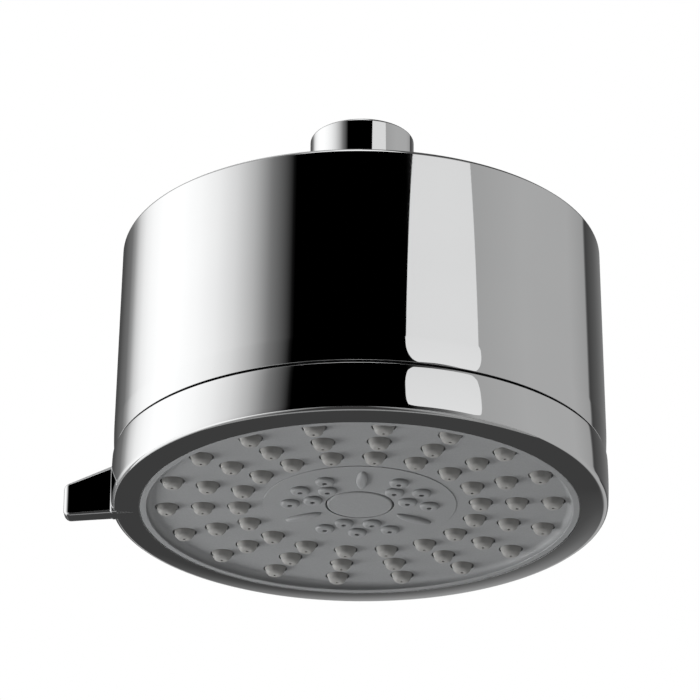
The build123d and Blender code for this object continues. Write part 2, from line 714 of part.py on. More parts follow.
# Centre spray disc: three clusters of jets with a raised pad between each two
disc_bottom = face_recess - disc_proud
cluster_outer = cluster_inner + cluster_step
centre_spray_disc = turned(
    (cap_radius + cap_gap, disc_bottom),
    (disc_radius, disc_bottom),
    (disc_radius, face_top),
    (disc_flange, face_top),
    (disc_flange, mat_top),
    (disc_radius - disc_flange_width, mat_top),
    (disc_radius - disc_flange_width, face_top),
    (cap_radius + cap_gap, face_top),
)
jet_boss = frustum(
    jet_boss_radius - jet_boss_taper, jet_boss_radius, disc_bottom - jet_boss_height, disc_bottom
)
jet_hole = rod(jet_radius, disc_bottom - jet_boss_height - overlap, face_top + overlap)
outer_jets = [Rot(0, 0, k * outer_spread) * Pos(cluster_outer, 0, 0) for k in (-1, 0, 1)]
inner_jets = [Rot(0, 0, k * inner_spread) * Pos(cluster_inner, 0, 0) for k in (-1, 1)]
jet_places = [
    Rot(0, 0, 90 + disc_turn + 360 * k / cluster_count) * place
    for k in range(cluster_count)
    for place in outer_jets + inner_jets
]
pad = Pos((cluster_inner + cluster_outer) / 2, 0, disc_bottom - pad_height) * extrude(
    Ellipse(pad_length / 2, pad_width / 2), pad_height
)
centre_spray_disc += [place * jet_boss for place in jet_places]
centre_spray_disc += round_about(pad, cluster_count, 30 + disc_turn)
centre_spray_disc -= [place * jet_hole for place in jet_places]

# Centre cap: plug over the screw
cap_bottom = disc_bottom - disc_proud
cap_skirt = hub_recess - 2 * fit
centre_cap = turned(
    (0, cap_bottom),
    (cap_radius - edge_round, cap_bottom),
    (cap_radius, cap_bottom + edge_round),
    (cap_radius, face_top),
    (cap_skirt, face_top),
    (cap_skirt, hub_floor_bottom - cap_wall),
    (cap_skirt - cap_wall, hub_floor_bottom - cap_wall),
    (cap_skirt - cap_wall, cap_bottom + 1.5 * cap_wall),
    (0, cap_bottom + 1.5 * cap_wall),
)

# Centre screw and washer: hold the turning face on the spindle
washer_bottom = hub_floor_bottom - fit - screw_washer_height
screw_head_bottom = washer_bottom - head_depth
screw_washer_radius = cap_skirt - cap_wall - 2 * gap
centre_screw_washer = turned(
    (screw_radius + fit, washer_bottom),
    (screw_washer_radius, washer_bottom),
    (screw_washer_radius, washer_bottom + screw_washer_height),
    (screw_radius + fit, washer_bottom + screw_washer_height),
)
screw_slot = Pos(0, 0, screw_head_bottom) * Box(3 * screw_radius, 0.6 * screw_radius, head_depth)
centre_screw = rod(2 * screw_radius, screw_head_bottom, washer_bottom)
centre_screw += rod(screw_radius, washer_bottom, screw_top)
centre_screw -= [screw_slot, Rot(0, 0, 90) * screw_slot]

# Jet plate: slanted slots that throw the water against the turbine
jet_plate_bottom = plate_bottom - jet_plate_height
jet_plate_outside = chamber_wall_inside - fit
jet_plate = turned(
    (hub_radius + fit, jet_plate_bottom),
    (jet_plate_outside, jet_plate_bottom),
    (jet_plate_outside, plate_bottom),
    (jet_plate_outside - jet_plate_wall, plate_bottom),
    (jet_plate_outside - jet_plate_wall, jet_plate_bottom + jet_plate_wall),
    (hub_radius + fit, jet_plate_bottom + jet_plate_wall),
)
slot_middle = (hub_radius + jet_plate_outside) / 2
slot_box = Box(2 * port_radius, jet_plate_wall, 2 * jet_plate_height)
slant_slot = Pos(slot_middle, 0, jet_plate_bottom + jet_plate_wall / 2) * Rot(jet_slant, 0, 0) * slot_box
jet_plate -= round_about(slant_slot, jet_slots)

# Turbine: runs on the hub, its half shutter opens the clusters in turn
turbine_bottom = face_top + gap
turbine_top = jet_plate_bottom - gap
turbine_bore = hub_radius + fit
turbine_radius = disc_radius - disc_flange_width - gap
shutter_top = turbine_bottom + blade_thickness
blade_root = turbine_bore + turbine_wall / 2
turbine_rotor = turned(
    (turbine_bore, turbine_bottom),
    (turbine_bore + turbine_wall, turbine_bottom),
    (turbine_bore + turbine_wall, turbine_top),
    (turbine_bore, turbine_top),
)
shutter_outline = turned(
    (blade_root, turbine_bottom),
    (turbine_radius - gap, turbine_bottom),
    (turbine_radius - gap, shutter_top),
    (blade_root, shutter_top),
)
half_box = Box(4 * turbine_radius, 2 * turbine_radius, 4 * blade_thickness)
shutter = shutter_outline & (Pos(0, turbine_radius, shutter_top) * half_box)
blade_bottom = turbine_bottom + blade_thickness / 2
blade = block(blade_root, turbine_radius, blade_thickness, blade_bottom, turbine_top - gap)
turbine_rotor += [shutter] + round_about(blade, turbine_blades, 180 / turbine_blades)

pieces = {
    "inlet_connector": inlet_connector,
    "inlet_washer": inlet_washer,
    "filter_screen": filter_screen,
    "flow_restrictor": flow_restrictor,
    "restrictor_ring_seal": restrictor_ring_seal,
    "ball_friction_ring": ball_friction_ring,
    "ball_seal": ball_seal,
    "ball_nut": ball_nut,
    "body_shell": body_shell,
    "water_manifold": water_manifold,
    "port_plate": port_plate,
    "port_plate_ring_seal": port_plate_ring_seal,
    "port_plate_screws": port_plate_screws,
    "port_seal": port_seal,
    "spindle_ring_seal": spindle_ring_seal,
    "detent_spring": detent_spring,
    "detent_screw": detent_screw,
    "distributor_plate": distributor_plate,
    "jet_plate": jet_plate,
    "turbine_rotor": turbine_rotor,
    "nozzle_mat": nozzle_mat,
    "face_plate": face_plate,
    "centre_spray_disc": centre_spray_disc,
    "centre_screw": centre_screw,
    "centre_screw_washer": centre_screw_washer,
    "centre_cap": centre_cap,
    "selector_ring": selector_ring,
}
for name, piece in pieces.items():
    export_step(Pos(0, 0, -overall_height) * piece, f"parts/{name}.step")
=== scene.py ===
# %% [markdown]
# # Fixed shower head
# The CAD model is the frame: it gives every piece its true size and place. Here the pieces that can
# be seen are modelled again with fine edges, and every surface gets its finish. The hidden pieces
# inside keep their CAD meshes and only get a material.

# %% Load the frame
import json
from math import cos, pi, radians, sin, sqrt

import bmesh
import bpy
from mathutils import Matrix, Vector


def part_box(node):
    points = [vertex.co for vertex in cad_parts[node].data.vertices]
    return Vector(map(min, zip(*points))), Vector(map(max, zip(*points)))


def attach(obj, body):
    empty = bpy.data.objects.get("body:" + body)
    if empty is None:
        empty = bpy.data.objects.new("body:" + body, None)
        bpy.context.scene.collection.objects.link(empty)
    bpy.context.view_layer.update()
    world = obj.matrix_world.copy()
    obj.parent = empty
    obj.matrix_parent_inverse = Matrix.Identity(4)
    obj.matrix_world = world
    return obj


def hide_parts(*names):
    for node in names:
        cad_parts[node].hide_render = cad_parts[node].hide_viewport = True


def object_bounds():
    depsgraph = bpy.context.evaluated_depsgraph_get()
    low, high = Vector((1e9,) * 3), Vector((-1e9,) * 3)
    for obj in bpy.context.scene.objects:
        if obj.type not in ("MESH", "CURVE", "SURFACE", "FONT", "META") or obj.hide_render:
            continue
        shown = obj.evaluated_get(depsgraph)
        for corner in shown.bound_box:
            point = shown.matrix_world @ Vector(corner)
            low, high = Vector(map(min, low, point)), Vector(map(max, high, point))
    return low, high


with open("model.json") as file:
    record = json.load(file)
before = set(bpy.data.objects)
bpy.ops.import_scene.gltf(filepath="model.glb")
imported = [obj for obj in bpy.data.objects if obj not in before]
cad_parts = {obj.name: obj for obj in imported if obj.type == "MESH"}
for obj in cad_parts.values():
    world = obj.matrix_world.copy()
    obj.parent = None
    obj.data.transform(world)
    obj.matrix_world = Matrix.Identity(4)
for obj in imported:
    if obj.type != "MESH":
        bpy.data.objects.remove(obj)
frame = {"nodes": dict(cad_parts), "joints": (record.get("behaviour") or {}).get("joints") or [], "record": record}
cad_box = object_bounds()
MM = 0.001
print("nodes:", len(frame["nodes"]), "box in mm:", [round(v / MM, 1) for v in cad_box[1] - cad_box[0]])

# %% [markdown]
# ## Grain and haze
# A moulded plastic shows two scales at once: a fine grain from the spark-eroded mould, and broad,
# faint blotches where it cooled unevenly. Several finishes need that, so it is one node group with
# its own inputs, and each material mixes its outputs in its own way.


# %% Moulded grain group
def new_group(name, inputs, outputs):
    """An empty shader node group with float inputs and outputs."""
    group = bpy.data.node_groups.new(name, "ShaderNodeTree")
    for label, value in inputs.items():
        socket = group.interface.new_socket(label, in_out="INPUT", socket_type="NodeSocketFloat")
        socket.default_value = value
    for label in outputs:
        group.interface.new_socket(label, in_out="OUTPUT", socket_type="NodeSocketFloat")
    return group, group.nodes.new("NodeGroupInput"), group.nodes.new("NodeGroupOutput")


moulded_grain, grain_in, grain_out = new_group(
    "moulded_grain", {"Grain Scale": 2500.0, "Blotch Scale": 60.0}, ("Grain", "Blotch")
)
place = moulded_grain.nodes.new("ShaderNodeTexCoord")
for label, detail in (("Grain", 3.0), ("Blotch", 2.0)):
    noise = moulded_grain.nodes.new("ShaderNodeTexNoise")
    noise.inputs["Detail"].default_value = detail
    moulded_grain.links.new(place.outputs["Object"], noise.inputs["Vector"])
    moulded_grain.links.new(grain_in.outputs[label + " Scale"], noise.inputs["Scale"])
    moulded_grain.links.new(noise.outputs["Fac"], grain_out.inputs[label])
print("group:", moulded_grain.name, "nodes:", len(moulded_grain.nodes))

# %% [markdown]
# Polished metal is never evenly polished. Hands leave broad smears of haze, and wiping leaves fine
# lines that run round the piece. The lines come from a noise that is squeezed along Z, so that it
# varies quickly up the wall and slowly round it.

# %% Wiping haze group
wiping_haze, haze_in, haze_out = new_group(
    "wiping_haze", {"Smear Scale": 45.0, "Line Scale": 30.0}, ("Smear", "Lines")
)
place = wiping_haze.nodes.new("ShaderNodeTexCoord")
smear = wiping_haze.nodes.new("ShaderNodeTexNoise")
smear.inputs["Detail"].default_value = 4.0
squeeze = wiping_haze.nodes.new("ShaderNodeMapping")
squeeze.inputs["Scale"].default_value = (1.0, 1.0, 60.0)
lines = wiping_haze.nodes.new("ShaderNodeTexNoise")
lines.inputs["Detail"].default_value = 3.0
wiping_haze.links.new(place.outputs["Object"], smear.inputs["Vector"])
wiping_haze.links.new(place.outputs["Object"], squeeze.inputs["Vector"])
wiping_haze.links.new(squeeze.outputs["Vector"], lines.inputs["Vector"])
wiping_haze.links.new(haze_in.outputs["Smear Scale"], smear.inputs["Scale"])
wiping_haze.links.new(haze_in.outputs["Line Scale"], lines.inputs["Scale"])
wiping_haze.links.new(smear.outputs["Fac"], haze_out.inputs["Smear"])
wiping_haze.links.new(lines.outputs["Fac"], haze_out.inputs["Lines"])
print("group:", wiping_haze.name, "nodes:", len(wiping_haze.nodes))

# %% [markdown]
# ## Finishes
# One function builds every finish, because they differ only in colour, gloss and grain. A broad mask
# blends two close colours, and a fine one lifts the surface by a hair through a Bump node. The broad
# mask also spreads the roughness of metal, and the fine one that of plastic and rubber. Metal takes its
# masks from the haze, plastic and rubber from the grain. A flat colour would be quicker, but then every
# surface looks like fresh paint. The name of each finish is the material slot in the record.


# %% Finish builder
def new_finish(name, colours, roughness, group, masks, scales, bump, metallic=0.0):
    """A material whose colour, roughness and bump vary with the two masks of a node group."""
    material = bpy.data.materials.new(name)
    material.use_nodes = True
    nodes, links = material.node_tree.nodes, material.node_tree.links
    shader = nodes["Principled BSDF"]
    shader.inputs["Metallic"].default_value = metallic
    broad, fine = masks
    masks_node = nodes.new("ShaderNodeGroup")
    masks_node.node_tree = group
    for label, value in scales.items():
        masks_node.inputs[label].default_value = value
    blend = nodes.new("ShaderNodeMix")
    blend.data_type = "RGBA"
    blend.inputs["A"].default_value = (*colours[0], 1.0)
    blend.inputs["B"].default_value = (*colours[1], 1.0)
    links.new(masks_node.outputs[broad], blend.inputs["Factor"])
    links.new(blend.outputs["Result"], shader.inputs["Base Color"])
    spread = nodes.new("ShaderNodeMapRange")
    spread.inputs["From Min"].default_value = 0.3
    spread.inputs["From Max"].default_value = 0.7
    spread.inputs["To Min"].default_value = roughness[0]
    spread.inputs["To Max"].default_value = roughness[1]
    links.new(masks_node.outputs[broad if metallic else fine], spread.inputs["Value"])
    links.new(spread.outputs["Result"], shader.inputs["Roughness"])
    lift = nodes.new("ShaderNodeBump")
    lift.inputs["Strength"].default_value = bump[0]
    lift.inputs["Distance"].default_value = bump[1]
    links.new(masks_node.outputs[fine], lift.inputs["Height"])
    links.new(lift.outputs["Normal"], shader.inputs["Normal"])
    return material


def moulded_finish(name, dark, light, roughness, grain=2500.0, bump=0.15):
    """Moulded plastic or rubber."""
    scales = {"Grain Scale": grain, "Blotch Scale": 60.0}
    masks = ("Blotch", "Grain")
    return new_finish(name, (dark, light), roughness, moulded_grain, masks, scales, (bump, 0.05 * MM))


def metal_finish(name, dark, light, roughness, line=30.0, bump=0.02):
    """Plated or plain metal."""
    scales = {"Smear Scale": 45.0, "Line Scale": line}
    masks = ("Smear", "Lines")
    lift = (bump, 0.01 * MM)
    return new_finish(name, (dark, light), roughness, wiping_haze, masks, scales, lift, metallic=1.0)


# %% The finishes of this shower head
finishes = {
    "plated": metal_finish("plated", (0.90, 0.905, 0.91), (0.94, 0.945, 0.945), (0.008, 0.03)),
    "grey_plastic": moulded_finish(
        "grey_plastic", (0.186, 0.190, 0.193), (0.206, 0.210, 0.213), (0.42, 0.56)
    ),
    "nozzle_rubber": moulded_finish(
        "nozzle_rubber", (0.206, 0.204, 0.197), (0.234, 0.232, 0.225), (0.50, 0.66), grain=3500.0, bump=0.08
    ),
    "black_rubber": moulded_finish(
        "black_rubber", (0.022, 0.022, 0.023), (0.034, 0.034, 0.035), (0.55, 0.75)
    ),
    "white_plastic": moulded_finish("white_plastic", (0.70, 0.70, 0.67), (0.78, 0.78, 0.75), (0.28, 0.42)),
    "dark_plastic": moulded_finish(
        "dark_plastic", (0.042, 0.043, 0.047), (0.058, 0.059, 0.064), (0.34, 0.5)
    ),
    "steel": metal_finish(
        "steel", (0.52, 0.52, 0.53), (0.64, 0.64, 0.65), (0.22, 0.38), line=80.0, bump=0.1
    ),
}
for subpart in frame["record"]["subparts"]:
    skin = frame["nodes"][subpart["node"]].data.materials
    skin.clear()
    skin.append(finishes[subpart["material_slot"]])
print("finishes:", sorted(finishes))

# %% [markdown]
# ## Turning a piece
# Most of this object is turned: its outline goes once round the Z axis. By hand that starts with one
# vertex, extruded from corner to corner. The sharp corners are then bevelled as vertices, which
# makes true small rounds, and Spin carries the outline round. A round of only half a millimetre
# still catches a bright line of light, and without it plated metal looks like cut paper.


# %% Outline
ROUND_STEPS = 6
SAME_PLACE = 0.001 * MM


def pick(piece, test):
    """Selects the vertices of a piece in edit mode that pass a test, and nothing else."""
    mesh = bmesh.from_edit_mesh(piece.data)
    for vertex in mesh.verts:
        vertex.select = bool(test(vertex.co))
    mesh.select_flush_mode()
    bmesh.update_edit_mesh(piece.data)


def draw_outline(name, corners, centre=(0.0, 0.0)):
    """Closed outline through (radius, height) or (radius, height, round) corners, left in edit mode."""
    spots = [Vector((centre[0] + corner[0], centre[1], corner[1])) for corner in corners]
    bpy.ops.object.select_all(action="DESELECT")
    bpy.ops.mesh.primitive_plane_add(size=MM)
    piece = bpy.context.object
    piece.name = name
    piece.data.name = name
    bpy.ops.object.mode_set(mode="EDIT")
    bpy.ops.mesh.select_mode(type="VERT")
    bpy.ops.mesh.select_all(action="SELECT")
    bpy.ops.mesh.merge(type="CENTER")
    bpy.ops.transform.translate(value=spots[0])
    for here, there in zip(spots, spots[1:] + spots[:1]):
        bpy.ops.mesh.extrude_region_move(TRANSFORM_OT_translate={"value": there - here})
    bpy.ops.mesh.select_all(action="SELECT")
    bpy.ops.mesh.remove_doubles(threshold=SAME_PLACE)
    for spot, corner in zip(spots, corners):
        if len(corner) == 3:
            pick(piece, lambda place: (place - spot).length < SAME_PLACE)
            bpy.ops.mesh.bevel(offset=corner[2], segments=ROUND_STEPS, affect="VERTICES")
    return piece


# %% Spin
TURN_STEPS = 192


def turned_piece(name, corners, centre=(0.0, 0.0), steps=TURN_STEPS):
    """Closed solid of revolution about an upright axis through centre."""
    piece = draw_outline(name, corners, centre)
    bpy.ops.mesh.select_all(action="SELECT")
    bpy.ops.mesh.spin(steps=steps, angle=2 * pi, center=(*centre, 0.0), axis=(0.0, 0.0, 1.0))
    bpy.ops.mesh.select_all(action="SELECT")
    bpy.ops.mesh.remove_doubles(threshold=SAME_PLACE)
    bpy.ops.mesh.normals_make_consistent(inside=False)
    bpy.ops.object.mode_set(mode="OBJECT")
    return piece


print("steps in a full turn:", TURN_STEPS, "and in a round:", ROUND_STEPS)

# %% [markdown]
# ## Body shell
# The drum is a thin plated moulding, open below. Its wall leans in a little towards the top, so that
# it leaves the mould, and rolls in just above the parting line. It could be a cylinder with a Solidify
# modifier, but the outline gives the taper, the roll and the two walls in one go.


# %% Body shell
def parabola(start, end, rise, steps):
    """Points between two radii or heights, with a rise that grows with the square of the way."""
    return [(start + (end - start) * k / steps, rise * (k / steps) ** 2) for k in range(1, steps)]


shell_low, shell_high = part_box("body_shell")
drum_radius = shell_high.x
drum_top = shell_high.z
drum_foot = shell_low.z
drum_wall = 2.4 * MM
drum_roof = 2.6 * MM
top_radius = drum_radius - 0.8 * MM
roll_depth = 0.2 * MM
roll_height = 6.0 * MM
socket_hole = 15.3 * MM
seam_round = 0.12 * MM
top_round = 0.9 * MM
foot_roll = [
    (drum_radius - inset, height)
    for height, inset in parabola(drum_foot + roll_height, drum_foot, roll_depth, steps=6)
]
body_shell = turned_piece(
    "body_shell_plated",
    [
        (top_radius, drum_top, top_round),
        (drum_radius, drum_foot + roll_height),
        *foot_roll,
        (drum_radius - roll_depth, drum_foot, seam_round),
        (drum_radius - roll_depth - drum_wall, drum_foot),
        (top_radius - drum_wall, drum_top - drum_roof),
        (socket_hole, drum_top - drum_roof),
        (socket_hole, drum_top, seam_round),
    ],
)
print("drum height in mm:", round((drum_top - drum_foot) / MM, 2))

# %% [markdown]
# Ribs stiffen the wall inside and hold the water chamber in the middle. Nobody sees them, but such
# mouldings have them, and so does the CAD model. One rib starts as a cube at its size and place, turned
# half a step, and gets its edges bevelled. Spin with Dupli then copies it round the axis. An Array
# modifier could do that too, but it needs an empty to turn about.


# %% Ribs inside the shell
def only(piece):
    """Makes a piece the only selected object, and the active one."""
    bpy.ops.object.select_all(action="DESELECT")
    piece.select_set(True)
    bpy.context.view_layer.objects.active = piece


def join(piece, others):
    """Joins other meshes into a piece."""
    only(piece)
    for other in others:
        other.select_set(True)
    bpy.ops.object.join()
    return piece


def copies_round(piece, count, step):
    """Adds copies of all the faces of a piece, each turned on by a step about the Z axis."""
    only(piece)
    bpy.ops.object.mode_set(mode="EDIT")
    bpy.ops.mesh.select_all(action="SELECT")
    bpy.ops.mesh.spin(steps=count - 1, angle=step * (count - 1), dupli=True, center=(0, 0, 0), axis=(0, 0, 1))
    bpy.ops.object.mode_set(mode="OBJECT")
    return piece


RIBS = 6
rib_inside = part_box("water_manifold")[1].x + 0.05 * MM
rib_outside = top_radius - drum_wall + 0.5 * MM
rib_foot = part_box("port_plate")[1].z
rib_roof = drum_top - drum_roof + 0.5 * MM
rib_thickness = 1.6 * MM
rib_round = 0.3 * MM
rib_middle = (rib_inside + rib_outside) / 2
rib_turn = pi / RIBS
bpy.ops.object.select_all(action="DESELECT")
bpy.ops.mesh.primitive_cube_add(
    size=1.0,
    location=(rib_middle * cos(rib_turn), rib_middle * sin(rib_turn), (rib_foot + rib_roof) / 2),
    rotation=(0, 0, rib_turn),
)
shell_ribs = bpy.context.object
shell_ribs.scale = (rib_outside - rib_inside, rib_thickness, rib_roof - rib_foot)
bpy.ops.object.transform_apply(location=True, rotation=True, scale=True)
bpy.ops.object.mode_set(mode="EDIT")
bpy.ops.mesh.select_all(action="SELECT")
bpy.ops.mesh.bevel(offset=rib_round, segments=2, affect="EDGES")
bpy.ops.object.mode_set(mode="OBJECT")
copies_round(shell_ribs, RIBS, 2 * pi / RIBS)
join(body_shell, [shell_ribs])
print("ribs:", RIBS)

# %% [markdown]
# A finished piece is smooth, but keeps its hard edges, and its normals are weighted by area. Without
# that, the narrow faces of a round would bend the normals of the wide wall beside it, and the
# mirror image in the plating would swim.


# %% Finish of the body shell
def finish_piece(piece, slot, body, *replaced, edge=35.0):
    """Gives a piece its normals, finish and body, and lets it stand for CAD nodes."""
    only(piece)
    bpy.ops.object.shade_smooth_by_angle(angle=radians(edge))
    modifier = piece.modifiers.new("even_normals", "WEIGHTED_NORMAL")
    modifier.keep_sharp = True
    bpy.ops.object.modifier_apply(modifier=modifier.name)
    piece.data.materials.clear()
    piece.data.materials.append(finishes[slot])
    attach(piece, body)
    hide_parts(*replaced)
    print(piece.name, "faces:", len(piece.data.polygons), "on", body)


finish_piece(body_shell, "plated", "head", "body_shell")

# %% [markdown]
# ## Selector ring
# The ring below the parting line turns the spray face. It is turned from one outline, like the drum. A
# Bevel modifier could round its edges, but the outline gives each edge its own round. Its wall and its
# underside bulge by less than a fifth of a millimetre. That cannot be seen as a shape, but a dead flat
# mirror looks like glass, and on a bulging one the reflections run in slow curves and fade. The ring
# ends a little below the drum, and the two edges there are almost sharp, so the seam shows as a dark
# line.

# %% Selector ring
ring_low, ring_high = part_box("selector_ring")
rim_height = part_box("face_plate")[0].z
ring_floor = rim_height - 0.1 * MM
ring_radius = ring_high.y
ring_top = ring_high.z
seam_reveal = 0.4 * MM
ring_height = ring_top - ring_floor
ring_crown = 0.15 * MM
floor_crown = 0.18 * MM
ring_round = 1.1 * MM
wall_place = ring_radius - ring_crown
lip_radius = ring_radius - 6.3 * MM
lip_height = 3.0 * MM
lip_round = 0.05 * MM
ring_inside = ring_radius - 2.7 * MM
bead_radius = ring_inside - 0.7 * MM
bead_height = 0.6 * MM
underside = [
    (radius, ring_floor + rise) for radius, rise in parabola(lip_radius, wall_place, floor_crown, steps=5)
]
CROWN_STEPS = 12
wall_crown = [
    (ring_radius - ring_crown * (2 * k / CROWN_STEPS - 1) ** 2, ring_floor + ring_height * k / CROWN_STEPS)
    for k in range(2, CROWN_STEPS)
]
selector_ring = turned_piece(
    "selector_ring_plated",
    [
        (lip_radius, ring_floor, lip_round),
        *underside,
        (wall_place, ring_floor + floor_crown, ring_round),
        *wall_crown,
        (wall_place, ring_top - seam_reveal, seam_round),
        (bead_radius, ring_top - seam_reveal),
        (bead_radius, ring_top - bead_height),
        (ring_inside, ring_top - bead_height),
        (ring_inside, ring_floor + lip_height),
        (lip_radius, ring_floor + lip_height),
    ],
)
print("ring height in mm:", round(ring_height / MM, 2))

# %% [markdown]
# The thumb lever grows out of the ring. It is one rounded rectangle, extruded outwards station by
# station: it flares where it leaves the wall, its top slopes down, its underside dips a little, and
# the last stations shrink along quarter circles to round the tip. The toe, the brow and the two
# cheeks of the tip each have their own round. A cube with a Bevel modifier would give all of them the
# same one.

# %% Stations of the thumb lever
lever_tip = -ring_low.x
lever_half = 2.15 * MM
lever_top = ring_top - 0.2 * MM
lever_slope = 4.7 * MM
lever_drop = 0.7 * MM
foot_drop = 0.2 * MM
lever_flare = 0.5 * MM
lever_round = 1.1 * MM
toe_round = 1.6 * MM
brow_round = 0.8 * MM
cheek_round = 1.4 * MM


def rounded(size, way):
    """How far a quarter circle of this size has left its straight side, this far from its end."""
    return size - sqrt(size**2 - max(0.0, size - way) ** 2)


def lever_station(reach, flare=0.0):
    """Place along -X, half width, and lower and upper height of one lever section."""
    share = max(0.0, (reach - wall_place) / (lever_tip - wall_place))
    way = lever_tip - reach
    half_width = lever_half + flare - rounded(cheek_round, way)
    low = ring_floor - foot_drop - (lever_drop - foot_drop) * share + rounded(toe_round, way)
    high = lever_top - lever_slope * share - rounded(brow_round, way)
    return reach, half_width, low, high


QUARTER_STEPS = 8
quarter = [radians(90 * k / QUARTER_STEPS) for k in range(QUARTER_STEPS + 1)]
stations = [lever_station(wall_place - ring_round, lever_flare)]
stations += [
    lever_station(wall_place + lever_flare * (1 - cos(a)), lever_flare * (1 - sin(a))) for a in quarter
]
stations += [lever_station(lever_tip - toe_round * (1 - sin(a))) for a in quarter]
print("lever stations:", len(stations))

# %% [markdown]
# Each extrusion is followed by a Resize about the new section's middle. Resize needs center_override
# here, because there is no window to take a pivot from. At the end both open ends are closed.


# %% Thumb lever
def close_openings():
    """Fills the open edges of the mesh in edit mode, and turns all its faces outwards."""
    bpy.ops.mesh.select_all(action="DESELECT")
    bpy.ops.mesh.select_non_manifold()
    bpy.ops.mesh.edge_face_add()
    bpy.ops.mesh.select_all(action="SELECT")
    bpy.ops.mesh.normals_make_consistent(inside=False)


reach, half_width, low, high = stations[0]
bpy.ops.object.select_all(action="DESELECT")
bpy.ops.mesh.primitive_plane_add(size=2.0, location=(-reach, 0, (low + high) / 2), rotation=(0, -pi / 2, 0))
lever = bpy.context.object
lever.scale = ((high - low) / 2, half_width, 1.0)
bpy.ops.object.transform_apply(location=True, rotation=True, scale=True)
bpy.ops.object.mode_set(mode="EDIT")
bpy.ops.mesh.select_all(action="SELECT")
bpy.ops.mesh.bevel(offset=lever_round, segments=ROUND_STEPS, affect="VERTICES")
bpy.ops.mesh.select_all(action="SELECT")
for here, there in zip(stations, stations[1:]):
    middle, next_middle = (here[2] + here[3]) / 2, (there[2] + there[3]) / 2
    slide = (here[0] - there[0], 0, next_middle - middle)
    bpy.ops.mesh.extrude_region_move(TRANSFORM_OT_translate={"value": slide})
    size = (1.0, there[1] / here[1], (there[3] - there[2]) / (here[3] - here[2]))
    bpy.ops.transform.resize(value=size, center_override=(-there[0], 0, next_middle))
close_openings()
bpy.ops.object.mode_set(mode="OBJECT")
print("lever faces:", len(lever.data.polygons))

# %% [markdown]
# Under the ring the lever runs out in a shallow foot that fades towards the face. It is a flat wedge:
# an outline, filled, extruded sideways and bevelled all round. A cube with one end pushed up would give
# the same, but the outline says straight away how high each end lies.

# %% Lever foot
foot_half = lever_half - 0.4 * MM
foot_inside = lip_radius + 0.4 * MM
foot_sunk = 0.02 * MM
foot_round = 0.12 * MM
lever_foot = draw_outline(
    "lever_foot",
    [
        (-wall_place, ring_floor - foot_drop),
        (-foot_inside, ring_floor + foot_sunk),
        (-foot_inside, ring_floor + ring_round),
        (-wall_place, ring_floor + ring_round),
    ],
)
bpy.ops.mesh.select_all(action="SELECT")
bpy.ops.mesh.edge_face_add()
bpy.ops.transform.translate(value=(0, -foot_half, 0))
bpy.ops.mesh.extrude_region_move(TRANSFORM_OT_translate={"value": (0, 2 * foot_half, 0)})
close_openings()
bpy.ops.mesh.bevel(offset=foot_round, segments=2, affect="EDGES")
bpy.ops.object.mode_set(mode="OBJECT")
join(selector_ring, [lever, lever_foot])
finish_piece(selector_ring, "plated", "spray_face", "selector_ring", edge=60.0)

# %% [markdown]
# ## Face plate
# The matt face lies a little inside the ring. A cove leads from the flat face up to the raised rim,
# and the rim fills the ring so closely that only a hairline shows between them. The plate is turned
# from its outline, as the ring is, because Inset and Extrude on a disc would not give the round cove.

# %% Face plate
plate_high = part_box("face_plate")[1]
face_recess = 1.8 * MM
plate_thickness = 2.0 * MM
rim_gap = 0.1 * MM
rim_width = 1.55 * MM
face_height = ring_floor + face_recess
face_back = face_height + plate_thickness
rim_radius = lip_radius - rim_gap
rim_inside = rim_radius - rim_width
rim_round = 0.25 * MM
cove = face_height - rim_height - 1.4 * rim_round
carrier_radius = plate_high.x
disc_radius = 21.4 * MM
disc_gap = 0.03 * MM
pocket_radius = rim_radius + 0.5 * MM
face_plate = turned_piece(
    "face_plate_grey",
    [
        (disc_radius + disc_gap, face_height),
        (rim_inside, face_height, cove),
        (rim_inside, rim_height, rim_round),
        (rim_radius, rim_height, seam_round),
        (rim_radius, ring_floor + lip_height),
        (carrier_radius, ring_floor + lip_height),
        (carrier_radius, plate_high.z),
        (pocket_radius, plate_high.z),
        (pocket_radius, face_back),
        (disc_radius + disc_gap, face_back),
    ],
)
print("face radius in mm:", round(rim_inside / MM, 2))

# %% [markdown]
# Each rubber nozzle comes through a round hole. The holes are one cylinder, copied inwards to the
# three circles and then round the axis, and cut out in a single Boolean. A Boolean for each hole
# would take fifty-four turns, and its result would be the same.

# %% Holes for the nozzles
SPOKES = 18
CIRCLES = 3
outer_circle = 42.75 * MM
circle_pitch = 8.0 * MM
nozzle_circles = [outer_circle - circle_pitch * k for k in range(CIRCLES)]
nozzle_base = 2.45 * MM
hole_gap = 0.25 * MM
hole_radius = nozzle_base + hole_gap


def cut(piece, cutter):
    """Cuts a cutter's shape out of a piece, and deletes the cutter."""
    only(piece)
    modifier = piece.modifiers.new("cut", "BOOLEAN")
    modifier.operation = "DIFFERENCE"
    modifier.solver = "EXACT"
    modifier.object = cutter
    bpy.ops.object.modifier_apply(modifier=modifier.name)
    bpy.data.objects.remove(cutter)
    return piece


def copies_inwards(piece):
    """Copies a piece from the outer circle of nozzles to the other circles, and then to every spoke."""
    only(piece)
    bpy.ops.object.mode_set(mode="EDIT")
    bpy.ops.mesh.select_all(action="SELECT")
    for outer, inner in zip(nozzle_circles, nozzle_circles[1:]):
        bpy.ops.mesh.duplicate_move(TRANSFORM_OT_translate={"value": (outer - inner, 0, 0)})
    bpy.ops.object.mode_set(mode="OBJECT")
    return copies_round(piece, SPOKES, 2 * pi / SPOKES)


